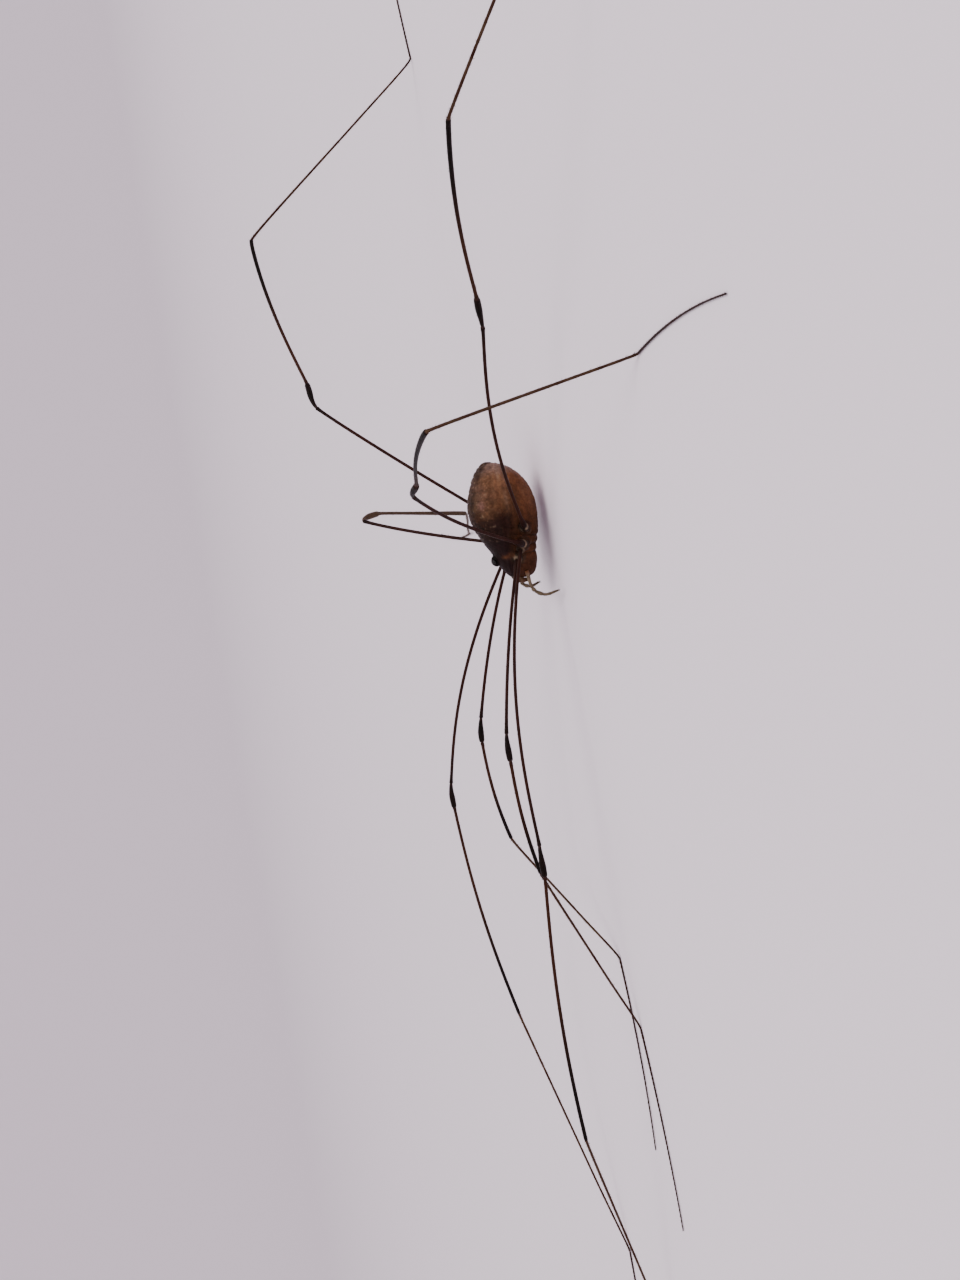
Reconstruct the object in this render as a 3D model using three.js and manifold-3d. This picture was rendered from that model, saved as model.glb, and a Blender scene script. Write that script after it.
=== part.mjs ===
// A harvestman at life size, standing on a level floor on its eight long tarsi.
// Millimetres, +X to the head, +Y to the animal's left, +Z up. The finished group is moved so that
// its origin is the middle of its box at floor level.

import * as THREE from "three";
import { mergeVertices } from "three/addons/utils/BufferGeometryUtils.js";
import Module from "manifold-3d";

const wasm = await Module();
wasm.setup();

// Driving sizes
const JOINT_GAP = 0.04;
const LIMB_SIDES = 8;
const LIMB_RADIUS = 0.25;
const KNEE_RADIUS = 0.29;
const TROCHANTER_RADIUS = 0.3;
const COXA_RADIUS = 0.4;
const HIP_RADIUS = 0.275;
const BEND_LENGTH = 0.7;
const BODY_SIDES = 24;
const BODY_SQUARENESS = 2.3;
const BODY_RINGS = 18;
const MOUTH_PART_RINGS = 8;
const COXA_RINGS = 9;
const WAIST_X = 0.75;

// The neck between coxa and trochanter: its place and width as parts of the coxa's length, and its depth
const NECK = { place: 0.72, width: 0.07, depth: 0.06 };

// Side and top outlines of the body, from the tail to the mouth: [x, belly, back, half width, widest z]
const BODY_OUTLINE = [
  [-4.42, 3.25, 3.25, 0, 3.25],
  [-4.29, 2.6, 3.66, 0.72, 3.05],
  [-3.84, 1.7, 4.12, 1.36, 2.8],
  [-2.9, 0.88, 4.58, 1.88, 2.65],
  [-1.7, 0.48, 4.92, 2.14, 2.6],
  [-0.5, 0.46, 4.78, 2.1, 2.6],
  [0.6, 0.6, 4.3, 1.78, 2.6],
  [1.5, 0.82, 3.8, 1.42, 2.55],
  [2.3, 0.9, 3.46, 1.1, 2.35],
  [2.9, 1.08, 3.06, 0.78, 2.1],
  [3.22, 1.4, 2.64, 0.46, 2.0],
  [3.32, 1.95, 1.95, 0, 1.95],
];

// Eye mound, eyes and mouth parts, as centres and as points along a curve. The left palp reaches down
// and out to the floor, and the right one is held bent in front of the mouth.
const MOUND = { centre: [1.92, 0, 3.6], radii: [0.42, 0.35, 0.36] };
const EYE = { centre: [1.96, 0.25, 3.75], radius: 0.15 };
const CHELICERA = [[2.75, 0.3, 2.62], [3.3, 0.31, 2.6], [3.6, 0.31, 2.2], [3.5, 0.3, 1.6]];
const PEDIPALP_LEFT = [[2.85, 0.84, 1.9], [4.05, 0.95, 1.7], [4.5, 1.5, 1.15], [4.3, 2.8, 0.42]];
const PEDIPALP_RIGHT = [[2.85, -0.84, 1.9], [3.65, -0.88, 2], [3.98, -0.94, 1.5], [3.8, -1, 0.8]];

// Lengths of the leg pieces, front pair first
const PAIR_LENGTHS = {
  1: { femur: 11.2, patella: 1.72, tibia: 7.5, metatarsus: 11.9, tarsus: 13 },
  2: { femur: 18.75, patella: 1.97, tibia: 17.4, metatarsus: 19, tarsus: 29 },
  3: { femur: 11.67, patella: 2, tibia: 9.5, metatarsus: 12, tarsus: 14.5 },
  4: { femur: 15.7, patella: 2.1, tibia: 12.8, metatarsus: 19.5, tarsus: 22 },
};

// Where each pair leaves the body, as the left leg's hip, and where its coxa starts in the body
const HIPS = {
  1: { hip: [2.05, 1.5, 2.5], root: [1.7, 0.5, 1.7] },
  2: { hip: [1.45, 1.95, 2.3], root: [1.2, 0.6, 1.5] },
  3: { hip: [1.05, 2.2, 2.15], root: [0.85, 0.6, 1.4] },
  4: { hip: [-0.05, 2.35, 1.9], root: [0.3, 0.6, 1.3] },
};

// Headings turn from the head to the leg's own side, rises are up from level, both in degrees.
// A metatarsus has no rise, because it comes down to the floor, and a tarsus turns as it lies.
// The third number of a femur is how far it bows up at its middle for each millimetre of its length.
const LEGS = [
  {
    name: "left_1", pair: 1, side: 1,
    femur: [12, 15.2, 0.012], patella: [5, 2], tibia: [-1, -6], metatarsus: 4, tarsus: [22, 4],
  },
  {
    name: "left_2", pair: 2, side: 1,
    femur: [10, 7.6, 0.045], patella: [3, 0], tibia: [-2, 0], metatarsus: -15, tarsus: [-10, 3],
  },
  {
    name: "left_3", pair: 3, side: 1,
    femur: [117.1, 40.3, 0.045], patella: [108, 0], tibia: [106, 2], metatarsus: 106, tarsus: [100, 88],
  },
  {
    name: "left_4", pair: 4, side: 1,
    femur: [140, 9.4, 0.04], patella: [137, 9.8], tibia: [129, 8.5], metatarsus: 133, tarsus: [138, 150],
  },
  {
    name: "right_1", pair: 1, side: -1,
    femur: [16, 15.8, 0.015], patella: [15, 4], tibia: [12, -9], metatarsus: -47, tarsus: [-20, 6],
  },
  {
    name: "right_2", pair: 2, side: -1,
    femur: [28, 16, 0.045], patella: [20, -1], tibia: [12, -9], metatarsus: -12, tarsus: [-6, 6],
  },
  {
    name: "right_3", pair: 3, side: -1,
    femur: [111.3, 45.8, 0.03], patella: [102, -38], tibia: [80, -49], metatarsus: 81, tarsus: [84, 96],
  },
  {
    name: "right_4", pair: 4, side: -1,
    femur: [150, 43, 0.005], patella: [148, 7.5], tibia: [150, 7], metatarsus: 158, tarsus: [160, 174],
  },
];

// How far a tibia bows up at its middle, for each millimetre of its length
const TIBIA_BOW = 0.02;
const RINGS = { femur: 8, patella: 4, tibia: 7, metatarsus: 8, tarsus: 12 };

const CUTICLE_ROUGHNESS = 0.55;
const EYE_ROUGHNESS = 0.1;
const COLOURS = {
  abdomen: 0x7a4f3a,
  prosoma: 0x4a2c24,
  coxa: 0x6a3a26,
  femur: 0x3a211c,
  patella: 0x1d1312,
  tibia: 0x33201b,
  metatarsus: 0x5a4636,
  tarsus: 0x3a2f28,
  eye: 0x0a0a0a,
  palp: 0xb9a98a,
};

function direction(heading, rise, side) {
  const h = THREE.MathUtils.degToRad(heading);
  const r = THREE.MathUtils.degToRad(rise);
  return new THREE.Vector3(Math.cos(r) * Math.cos(h), side * Math.cos(r) * Math.sin(h), Math.sin(r));
}

// A limb piece: a nearly straight cubic whose ends bend to the given directions, bowed upwards
class LimbCurve extends THREE.Curve {
  constructor(start, end, startWay, endWay, bow = 0) {
    super();
    const reach = Math.min(BEND_LENGTH, start.distanceTo(end) / 3);
    const from = start.clone().addScaledVector(startWay, JOINT_GAP / 2);
    const to = end.clone().addScaledVector(endWay, -JOINT_GAP / 2);
    this.bow = bow;
    this.line = new THREE.CubicBezierCurve3(
      from,
      from.clone().addScaledVector(startWay, reach),
      to.clone().addScaledVector(endWay, -reach),
      to,
    );
  }

  getPoint(t, target = new THREE.Vector3()) {
    this.line.getPoint(t, target);
    target.z += this.bow * Math.sin(Math.PI * t) ** 2;
    return target;
  }
}

// A closed tube of flat sides along a curve, one flat facing down, its radius a function of the way along
function sweep(curve, radiusAt, rings, sides = LIMB_SIDES, extra = 0) {
  const geometry = new THREE.CylinderGeometry(1, 1, 1, sides, rings, false, Math.PI / sides);
  const position = geometry.attributes.position;
  const upright = new THREE.Vector3(0, 0, 1);
  const vertex = new THREE.Vector3();
  for (let i = 0; i < position.count; i += 1) {
    vertex.fromBufferAttribute(position, i);
    const t = THREE.MathUtils.clamp(vertex.y + 0.5, 0, 1);
    const way = curve.getTangent(t);
    const across = way.clone().cross(upright).normalize();
    const up = across.clone().cross(way);
    const radius = (radiusAt(t) + extra) / Math.cos(Math.PI / sides);
    const centre = curve.getPoint(t);
    centre.addScaledVector(across, vertex.x * radius);
    centre.addScaledVector(up, vertex.z * radius);
    position.setXYZ(i, centre.x, centre.y, centre.z);
  }
  return geometry;
}

function toSolid(geometry) {
  const bare = geometry.clone();
  bare.deleteAttribute("normal");
  bare.deleteAttribute("uv");
  const merged = mergeVertices(bare, 1e-5);
  return new wasm.Manifold(new wasm.Mesh({
    numProp: 3,
    vertProperties: merged.attributes.position.array,
    triVerts: new Uint32Array(merged.index.array),
  }));
}

function toGeometry(solid) {
  const mesh = solid.getMesh();
  const geometry = new THREE.BufferGeometry();
  geometry.setAttribute("position", new THREE.BufferAttribute(new Float32Array(mesh.vertProperties), 3));
  geometry.setIndex(new THREE.BufferAttribute(new Uint32Array(mesh.triVerts), 1));
  geometry.computeVertexNormals();
  return geometry;
}

const group = new THREE.Group();

function addPiece(name, geometry, colour, roughness = CUTICLE_ROUGHNESS) {
  const material = new THREE.MeshStandardMaterial({ color: colour, roughness, metalness: 0 });
  const mesh = new THREE.Mesh(geometry, material);
  mesh.name = name;
  group.add(mesh);
  return mesh;
}

// Body: one smooth outline, cut into the abdomen and the prosoma by a flat plane at the waist
const sidePoints = BODY_OUTLINE.map(([x, belly, back]) => new THREE.Vector3(x, belly, back));
const topPoints = BODY_OUTLINE.map(([x, , , wide, height]) => new THREE.Vector3(x, wide, height));
const sideLine = new THREE.CatmullRomCurve3(sidePoints);
const topLine = new THREE.CatmullRomCurve3(topPoints);

function superellipse(angle) {
  const power = 2 / BODY_SQUARENESS;
  const c = Math.cos(angle);
  const s = Math.sin(angle);
  return [Math.sign(c) * Math.abs(c) ** power, Math.sign(s) * Math.abs(s) ** power];
}

function bodyShape(rings, extra = 0) {
  const geometry = new THREE.SphereGeometry(1, BODY_SIDES, rings);
  const position = geometry.attributes.position;
  for (let i = 0; i < position.count; i += 1) {
    const ring = Math.floor(i / (BODY_SIDES + 1));
    const angle = (-2 * Math.PI * (i % (BODY_SIDES + 1))) / BODY_SIDES;
    const along = ring / rings;
    const side = sideLine.getPoint(along);
    const top = topLine.getPoint(along);
    const [across, up] = superellipse(angle);
    const swell = ring > 0 && ring < rings ? extra : 0;
    const height = up > 0 ? side.z - top.z : top.z - side.y;
    const tip = extra * (2 * along - 1);
    position.setXYZ(i, side.x + tip, across * (top.y + swell), top.z + up * (height + swell));
  }
  return geometry;
}

const bodyLength = BODY_OUTLINE.at(-1)[0] - BODY_OUTLINE[0][0];
const body = toSolid(bodyShape(BODY_RINGS));
const bodyKeepOut = toSolid(bodyShape(BODY_RINGS, JOINT_GAP));

function blockFrom(x, towards) {
  const block = new THREE.BoxGeometry(bodyLength, bodyLength, 2 * bodyLength);
  block.translate(x + towards * (bodyLength + JOINT_GAP) / 2, 0, 0);
  return toSolid(block);
}

addPiece("abdomen", toGeometry(body.intersect(blockFrom(WAIST_X, -1))), COLOURS.abdomen);
addPiece("prosoma", toGeometry(body.intersect(blockFrom(WAIST_X, 1))), COLOURS.prosoma);

// Eye mound on the midline, with one eye set into each side
function ball(centre, radii, sides = 16, rings = 10) {
  const geometry = new THREE.SphereGeometry(1, sides, rings);
  geometry.scale(...radii);
  geometry.translate(...centre);
  return geometry;
}

let mound = toSolid(ball(MOUND.centre, MOUND.radii)).subtract(bodyKeepOut);
for (const [name, side] of [["left", 1], ["right", -1]]) {
  const centre = [EYE.centre[0], side * EYE.centre[1], EYE.centre[2]];
  const socket = EYE.radius + JOINT_GAP;
  mound = mound.subtract(toSolid(ball(centre, [socket, socket, socket])));
  addPiece(`eye_${name}`, ball(centre, [EYE.radius, EYE.radius, EYE.radius]), COLOURS.eye, EYE_ROUGHNESS);
}
addPiece("ocularium", toGeometry(mound), COLOURS.prosoma);

// Mouth parts: tubes of one thickness that start just outside the body
function addMouthPart(name, points, colour) {
  const curve = new THREE.CatmullRomCurve3(points.map((point) => new THREE.Vector3(...point)));
  const tube = toSolid(sweep(curve, () => LIMB_RADIUS, MOUTH_PART_RINGS));
  addPiece(name, toGeometry(tube.subtract(bodyKeepOut)), colour);
}

const mirrored = (points) => points.map(([x, y, z]) => [x, -y, z]);
addMouthPart("chelicera_left", CHELICERA, COLOURS.coxa);
addMouthPart("chelicera_right", mirrored(CHELICERA), COLOURS.coxa);
addMouthPart("pedipalp_left", PEDIPALP_LEFT, COLOURS.palp);
addMouthPart("pedipalp_right", PEDIPALP_RIGHT, COLOURS.palp);

// Coxa and trochanter: thick at the body, a narrow neck, then a round end that carries the femur
function coxaRadius(t) {
  const stout = THREE.MathUtils.lerp(COXA_RADIUS, TROCHANTER_RADIUS, t);
  const fromNeck = (t - NECK.place) / NECK.width;
  return stout - NECK.depth * Math.exp(-(fromNeck ** 2));
}

// Radius of each other piece along its length
const RADIUS = {
  femur: (t) => THREE.MathUtils.lerp(HIP_RADIUS, LIMB_RADIUS, Math.min(1, 4 * t)),
  patella: (t) => THREE.MathUtils.lerp(LIMB_RADIUS, KNEE_RADIUS, Math.sin(Math.PI * t)),
  tibia: (t) => THREE.MathUtils.lerp(LIMB_RADIUS, KNEE_RADIUS, Math.max(0, 4 * t - 3)),
  metatarsus: () => LIMB_RADIUS,
  tarsus: () => LIMB_RADIUS,
};

// Rooms that a coxa keeps clear of: the body, and each coxa made before it
const keepOuts = [bodyKeepOut];

function addLeg(leg) {
  const lengths = PAIR_LENGTHS[leg.pair];
  const place = ([x, y, z]) => new THREE.Vector3(x, leg.side * y, z);
  const root = place(HIPS[leg.pair].root);
  const joints = [place(HIPS[leg.pair].hip)];
  const ways = [];
  for (const kind of ["femur", "patella", "tibia"]) {
    const way = direction(leg[kind][0], leg[kind][1], leg.side);
    ways.push(way);
    joints.push(joints.at(-1).clone().addScaledVector(way, lengths[kind]));
  }

  // The metatarsus falls from the tibia to the floor, where the tarsus lies flat
  const drop = LIMB_RADIUS - joints.at(-1).z;
  const rise = THREE.MathUtils.radToDeg(Math.asin(drop / lengths.metatarsus));
  ways.push(direction(leg.metatarsus, rise, leg.side));
  joints.push(joints.at(-1).clone().addScaledVector(ways.at(-1), lengths.metatarsus));
  const [heelWay, toeWay] = leg.tarsus.map((heading) => direction(heading, 0, leg.side));
  const heel = joints.at(-1);
  const bend = heel.clone().addScaledVector(heelWay, lengths.tarsus / 2);
  const toe = bend.clone().addScaledVector(toeWay, lengths.tarsus / 2);

  const coxaWay = joints[0].clone().sub(root).normalize();
  const jointWays = [coxaWay.clone().add(ways[0]).normalize()];
  for (let i = 1; i < ways.length; i += 1) {
    jointWays.push(ways[i - 1].clone().add(ways[i]).normalize());
  }
  jointWays.push(heelWay);

  const coxa = new LimbCurve(root, joints[0], coxaWay, jointWays[0]);
  const tube = toSolid(sweep(coxa, coxaRadius, COXA_RINGS));
  const visible = keepOuts.reduce((solid, room) => solid.subtract(room), tube);
  addPiece(`leg_${leg.name}_coxa`, toGeometry(visible), COLOURS.coxa);
  keepOuts.push(toSolid(sweep(coxa, coxaRadius, COXA_RINGS, LIMB_SIDES, JOINT_GAP)));

  ["femur", "patella", "tibia", "metatarsus"].forEach((kind, i) => {
    const bow = lengths[kind] * ({ femur: leg.femur[2], tibia: TIBIA_BOW }[kind] ?? 0);
    const curve = new LimbCurve(joints[i], joints[i + 1], jointWays[i], jointWays[i + 1], bow);
    addPiece(`leg_${leg.name}_${kind}`, sweep(curve, RADIUS[kind], RINGS[kind]), COLOURS[kind]);
  });
  const heelFace = heel.clone().addScaledVector(heelWay, JOINT_GAP / 2);
  const lying = new THREE.QuadraticBezierCurve3(heelFace, bend, toe);
  addPiece(`leg_${leg.name}_tarsus`, sweep(lying, RADIUS.tarsus, RINGS.tarsus), COLOURS.tarsus);
}

LEGS.forEach(addLeg);

// The origin is the middle of the whole animal's box, at floor level
const box = new THREE.Box3().setFromObject(group);
const middle = box.getCenter(new THREE.Vector3());
group.position.set(-middle.x, -middle.y, -box.min.z);
group.updateMatrixWorld(true);

export default group;
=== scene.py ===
import itertools
import math

import bpy
import numpy as np
from mathutils import Matrix, Vector


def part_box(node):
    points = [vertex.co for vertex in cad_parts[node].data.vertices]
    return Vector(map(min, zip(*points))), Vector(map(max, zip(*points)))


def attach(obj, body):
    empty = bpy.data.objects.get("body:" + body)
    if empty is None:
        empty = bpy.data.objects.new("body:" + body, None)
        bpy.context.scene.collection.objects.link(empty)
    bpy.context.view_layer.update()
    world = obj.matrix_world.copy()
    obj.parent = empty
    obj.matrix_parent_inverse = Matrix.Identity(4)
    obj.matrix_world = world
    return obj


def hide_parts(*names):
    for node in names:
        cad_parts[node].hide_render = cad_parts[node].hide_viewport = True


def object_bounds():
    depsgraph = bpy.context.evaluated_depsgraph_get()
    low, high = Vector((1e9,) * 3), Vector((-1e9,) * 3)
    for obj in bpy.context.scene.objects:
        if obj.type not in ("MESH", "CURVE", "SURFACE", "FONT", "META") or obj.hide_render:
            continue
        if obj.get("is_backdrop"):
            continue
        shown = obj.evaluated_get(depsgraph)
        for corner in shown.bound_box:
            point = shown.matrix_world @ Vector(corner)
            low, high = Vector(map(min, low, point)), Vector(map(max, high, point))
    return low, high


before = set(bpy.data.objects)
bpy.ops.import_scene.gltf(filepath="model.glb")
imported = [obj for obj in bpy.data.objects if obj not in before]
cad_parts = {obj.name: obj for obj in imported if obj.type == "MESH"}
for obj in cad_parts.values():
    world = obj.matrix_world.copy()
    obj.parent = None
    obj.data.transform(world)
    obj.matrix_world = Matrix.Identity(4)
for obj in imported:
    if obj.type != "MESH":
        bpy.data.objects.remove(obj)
cad_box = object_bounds()

# Shapes are worked out in millimetres, +X to the head, +Y to the animal's left and the floor at zero, with
# the lengths and angles of the solids, and moved into the frame at the end.
MM = 0.001
SEED = 11

# Camera, from the photograph: height above level, turn to the side, and the tilt of the picture
IMAGE_WIDTH, IMAGE_HEIGHT = 960, 1280
LENS, SENSOR = 50.0, 36.0
CAMERA_RISE, CAMERA_TURN = math.radians(9.5), math.radians(5)
PICTURE_SLOPE = 0.18
MM_PER_PIXEL = 0.0636
AIM_POINT = np.array([-0.05, 2.0, 1.9])
AIM_PIXEL = np.array([523.0, 526.0])

# Body outline from tail to mouth: x, belly, back, half width, widest height
BODY_OUTLINE = np.array([
    [-4.42, 3.25, 3.25, 0, 3.25],
    [-4.29, 2.6, 3.66, 0.72, 3.05],
    [-3.84, 1.7, 4.12, 1.36, 2.8],
    [-2.9, 0.88, 4.58, 1.88, 2.65],
    [-1.7, 0.48, 4.92, 2.14, 2.6],
    [-0.5, 0.46, 4.78, 2.1, 2.6],
    [0.6, 0.6, 4.3, 1.78, 2.6],
    [1.5, 0.82, 3.8, 1.42, 2.55],
    [2.3, 0.9, 3.46, 1.1, 2.35],
    [2.9, 1.08, 3.06, 0.78, 2.1],
    [3.22, 1.4, 2.64, 0.46, 2.0],
    [3.32, 1.95, 1.95, 0, 1.95],
])
# The body's squareness, its skin's depth in the solid, the least half width, and the grain of the mesh
BODY_SQUARENESS, SKIN_INSET, THINNEST, VOXEL = 2.3, 0.045, 0.002, 0.042
# Heights of the widest girth and of the tail
GIRDLE_HEIGHT, TAIL_HEIGHT = 2.6, 3.3

MOUND_CENTRE = np.array([1.92, 0, 3.6])
MOUND_RADII = np.array([0.4, 0.33, 0.34])
EYE_CENTRE = np.array([1.96, 0.25, 3.75])
EYE_RADIUS = 0.145

CHELICERA = [[2.75, 0.3, 2.55], [3.14, 0.31, 2.53], [3.42, 0.31, 2.15], [3.42, 0.3, 1.6]]
PEDIPALPS = {
    "left": [[2.85, 0.84, 1.9], [4.05, 0.95, 1.7], [4.5, 1.5, 1.15], [4.3, 2.8, 0.42]],
    "right": [[2.85, -0.84, 1.9], [3.65, -0.88, 2], [3.98, -0.94, 1.5], [3.8, -1, 0.8]],
}

LEG_PIECES = ("femur", "patella", "tibia", "metatarsus", "tarsus")
FEMUR, PATELLA, TIBIA, METATARSUS, TARSUS = range(5)
PAIR_LENGTHS = {
    1: (11.2, 1.72, 7.5, 11.9, 13),
    2: (18.75, 1.97, 17.4, 19, 29),
    3: (11.67, 2, 9.5, 12, 14.5),
    4: (15.7, 2.1, 12.8, 19.5, 22),
}
HIPS = {
    1: ([2.05, 1.5, 2.5], [1.7, 0.5, 1.7]),
    2: ([1.45, 1.95, 2.3], [1.2, 0.6, 1.5]),
    3: ([1.05, 2.2, 2.15], [0.85, 0.6, 1.4]),
    4: ([-0.05, 2.35, 1.9], [0.3, 0.6, 1.3]),
}
# Pair, side, heading and rise of femur, patella and tibia, heading of metatarsus, and the two headings of
# the tarsus. The femur's third number is how far it bows up for each millimetre of its length.
LEGS = {
    "left_1": (1, 1, (12, 15.2, 0.012), (5, 2), (-1, -6), 4, (22, 4)),
    "left_2": (2, 1, (10, 7.6, 0.045), (3, 0), (-2, 0), -15, (-10, 3)),
    "left_3": (3, 1, (117.1, 40.3, 0.045), (108, 0), (106, 2), 106, (100, 88)),
    "left_4": (4, 1, (140, 9.4, 0.04), (137, 9.8), (129, 8.5), 133, (138, 150)),
    "right_1": (1, -1, (16, 15.8, 0.015), (15, 4), (12, -9), -47, (-20, 6)),
    "right_2": (2, -1, (28, 16, 0.045), (20, -1), (12, -9), -12, (-6, 6)),
    "right_3": (3, -1, (111.3, 45.8, 0.03), (102, -38), (80, -49), 81, (84, 96)),
    "right_4": (4, -1, (150, 43, 0.005), (148, 7.5), (150, 7), 158, (160, 174)),
}
TIBIA_BOW = 0.02
# Radius of the legs' solids, and the gap and the bend where two of them meet
SOLID_RADIUS, JOINT_GAP, BEND_LENGTH = 0.25, 0.04, 0.7
# Height of the lying tarsus's middle line above the floor, and the length kept free for its claw
TARSUS_RADIUS, CLAW_ROOM = 0.082, 0.14

OFFSET = np.array((Vector(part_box("eye_left")[0]) + Vector(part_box("eye_left")[1])) / 2) / MM - EYE_CENTRE


def to_frame(points):
    """Animal millimetres to frame metres."""
    return (points + OFFSET) * MM


# Small maths


def unit(v):
    return v / np.maximum(np.linalg.norm(v, axis=-1, keepdims=True), 1e-12)


def share(value):
    return np.clip(value, 0, 1)


def ramp(low, high, value):
    """0 below low, 1 above high and smooth between them; it falls where low is the higher."""
    t = share((value - low) / (high - low))
    return t * t * (3 - 2 * t)


def hump(centre, width, value):
    return np.exp(-(((value - centre) / width) ** 2))


def noise(points, size, seed):
    """Smooth noise from -1 to 1 with lumps about size millimetres apart."""
    q = points / size + seed * 17.31
    cell = np.floor(q).astype(np.int64)
    f = q - cell
    f = f * f * (3 - 2 * f)
    total = np.zeros(len(q))
    for corner in itertools.product((0, 1), repeat=3):
        c = cell + np.array(corner)
        h = (c[:, 0] * 73856093) ^ (c[:, 1] * 19349663) ^ (c[:, 2] * 83492791)
        h = (((h ^ (h >> 13)) & 0xFFFFFFF) * 1274126177) & 0x7FFFFFFF
        value = ((h >> 8) % 65536) / 32767.5 - 1
        weight = np.ones(len(q))
        for axis in range(3):
            weight = weight * (f[:, axis] if corner[axis] else 1 - f[:, axis])
        total += value * weight
    return total


def clouds(points, size, seed, layers=3):
    """Noise in layers, each half the size and half the strength of the one before."""
    total = np.zeros(len(points))
    for layer in range(layers):
        total += noise(points, size / 2**layer, seed + layer) / 2**layer
    return total / 1.6


def catmull_rom(points, t):
    """Points on the smooth curve through the given ones, which may lie unevenly."""
    points = np.asarray(points, float)
    last = len(points) - 1
    padded = np.vstack([2 * points[0] - points[1], points, 2 * points[-1] - points[-2]])
    place = share(t) * last
    index = np.minimum(place.astype(int), last - 1)
    w = (place - index)[:, None]
    p0, p1, p2, p3 = (padded[index + k] for k in range(4))
    d0, d1, d2 = (np.linalg.norm(b - a, axis=1)[:, None] ** 0.5 for a, b in ((p0, p1), (p1, p2), (p2, p3)))
    m1 = ((p1 - p0) / d0 - (p2 - p0) / (d0 + d1) + (p2 - p1) / d1) * d1
    m2 = ((p2 - p1) / d1 - (p3 - p1) / (d1 + d2) + (p3 - p2) / d2) * d1
    return p1 + m1 * w + (-3 * p1 + 3 * p2 - 2 * m1 - m2) * w**2 + (2 * p1 - 2 * p2 + m1 + m2) * w**3


def mirrored(point, side):
    return np.asarray(point) * np.array([1, side, 1])


def direction(heading, rise, side):
    h, r = math.radians(heading), math.radians(rise)
    return np.array([math.cos(r) * math.cos(h), side * math.cos(r) * math.sin(h), math.sin(r)])


def limb_line(start, end, start_way, end_way, bow, t):
    """The line of a limb piece, bent to its joints' directions at the ends."""
    reach = min(BEND_LENGTH, np.linalg.norm(end - start) / 3)
    a = start + start_way * JOINT_GAP / 2
    d = end - end_way * JOINT_GAP / 2
    b, c = a + start_way * reach, d - end_way * reach
    t = t[:, None]
    line = a * (1 - t) ** 3 + 3 * b * t * (1 - t) ** 2 + 3 * c * t**2 * (1 - t) + d * t**3
    line[:, 2] += bow * np.sin(math.pi * t[:, 0]) ** 2
    return line


# Meshes


def carried_frame(line):
    """Tangent, across and up at each point of a line, turning no more than the line does."""
    way = unit(np.gradient(line, axis=0))
    up = np.array([0.0, 0, 1]) if abs(way[0][2]) < 0.9 else np.array([1.0, 0, 0])
    ups = []
    for w in way:
        up = unit(up - w * (up @ w))
        ups.append(up)
    up = np.array(ups)
    return way, np.cross(way, up), up


def tube_faces(rings, sides):
    """Quads round a tube of rings, and fans to the two middle points that follow its rings."""
    ring = np.arange(rings - 1)[:, None] * sides
    side = np.arange(sides)[None]
    following = (side + 1) % sides
    quads = np.stack([ring + sides + side, ring + sides + following, ring + following, ring + side], -1)
    k = np.arange(sides)
    after, end, middle = (k + 1) % sides, (rings - 1) * sides, rings * sides
    start_fan = np.stack([np.full(sides, middle), k, after], -1)
    end_fan = np.stack([np.full(sides, middle + 1), end + after, end + k], -1)
    return quads.reshape(-1, 4), np.vstack([start_fan, end_fan])


def sweep(line, across_radius, up_radius, sides):
    """A closed tube along a line: points, quads and triangles."""
    _, across, up = carried_frame(line)
    angle = 2 * math.pi * np.arange(sides) / sides
    circle_a = np.cos(angle)[None, :, None] * across[:, None] * across_radius[:, None, None]
    circle_u = np.sin(angle)[None, :, None] * up[:, None] * up_radius[:, None, None]
    points = (line[:, None] + circle_a + circle_u).reshape(-1, 3)
    return np.vstack([points, line[0], line[-1]]), *tube_faces(len(line), sides)


def for_points(values, sides):
    """A value for each point of a tube, from one for each of its rings."""
    return np.concatenate([np.repeat(values, sides, axis=0), values[[0, -1]]])


def joined(parts):
    shifted, count = [], 0
    for points, quads, triangles in parts:
        shifted.append((points, quads + count, triangles + count))
        count += len(points)
    return tuple(np.vstack(arrays) for arrays in zip(*shifted))


def build_mesh(name, points, quads, triangles):
    mesh = bpy.data.meshes.new(name)
    mesh.from_pydata(points.tolist(), [], quads.tolist() + triangles.tolist())
    mesh.polygons.foreach_set("use_smooth", [True] * len(mesh.polygons))
    mesh.update()
    return mesh


def add_object(name, data):
    item = bpy.data.objects.new(name, data)
    bpy.context.scene.collection.objects.link(item)
    return item


def add_piece(name, mesh_parts, colour, material, replaced=()):
    """An object that carries its markings as a colour for each point."""
    points, quads, triangles = mesh_parts
    mesh = build_mesh(name, to_frame(points), quads, triangles)
    paint = mesh.attributes.new("marking", "FLOAT_COLOR", "POINT")
    rgba = np.ones((len(points), 4))
    rgba[:, :3] = colour
    paint.data.foreach_set("color", rgba.astype(np.float32).ravel())
    mesh.materials.append(material)
    piece = add_object(name, mesh)
    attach(piece, "root")
    if replaced:
        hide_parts(*replaced)
    return piece


def values_of(items, key, kind=int, width=1):
    values = np.empty(len(items) * width, kind)
    items.foreach_get(key, values)
    return values


def mesh_arrays(mesh):
    points = values_of(mesh.vertices, "co", float, 3)
    totals = values_of(mesh.polygons, "loop_total")
    corners = values_of(mesh.loops, "vertex_index")
    starts = np.concatenate([[0], np.cumsum(totals)[:-1]])
    quads = corners[starts[totals == 4][:, None] + np.arange(4)]
    triangles = corners[starts[totals == 3][:, None] + np.arange(3)]
    return points.reshape(-1, 3), quads, triangles


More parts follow.
